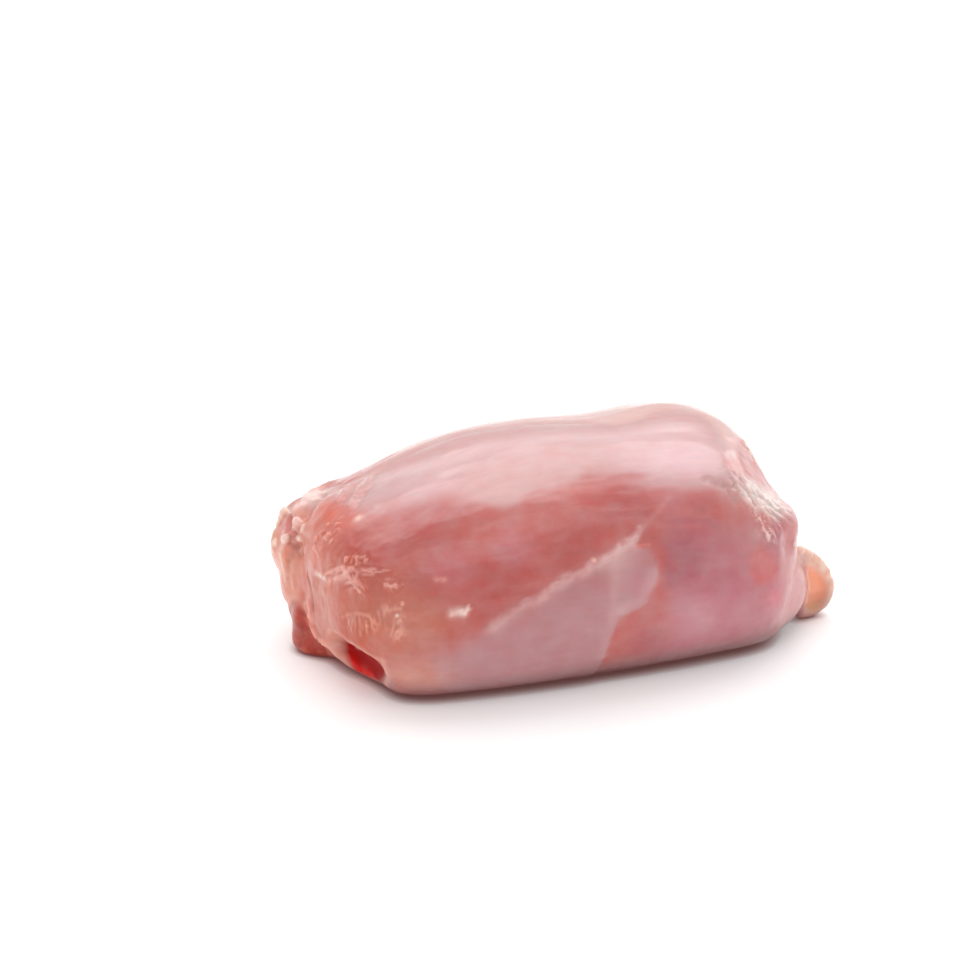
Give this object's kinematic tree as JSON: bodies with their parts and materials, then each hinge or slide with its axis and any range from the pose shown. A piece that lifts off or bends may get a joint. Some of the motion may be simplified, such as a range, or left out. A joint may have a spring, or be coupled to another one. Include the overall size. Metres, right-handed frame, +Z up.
{
  "type": "raw boneless chicken thigh",
  "caption": "Raw skinless boneless thigh of poultry, tucked into a plump parcel with a membrane, a fold, fat beads and a fat flap; lies on a flat underside.",
  "frame": {"origin": "middle of the bounding box at the flat underside", "axes": "+X along the roll towards the end with the fat flap, -Y the smooth outer side that the picture shows, +Z up"},
  "size_m": [0.1072, 0.061, 0.0416],
  "materials": {
    "flesh": "wet raw meat: salmon pink with paler membrane, mauve muscle, cream fat and a dark red fold"
  },
  "bodies": {
    "root": {"chicken_thigh": "flesh"}
  },
  "joints": []
}
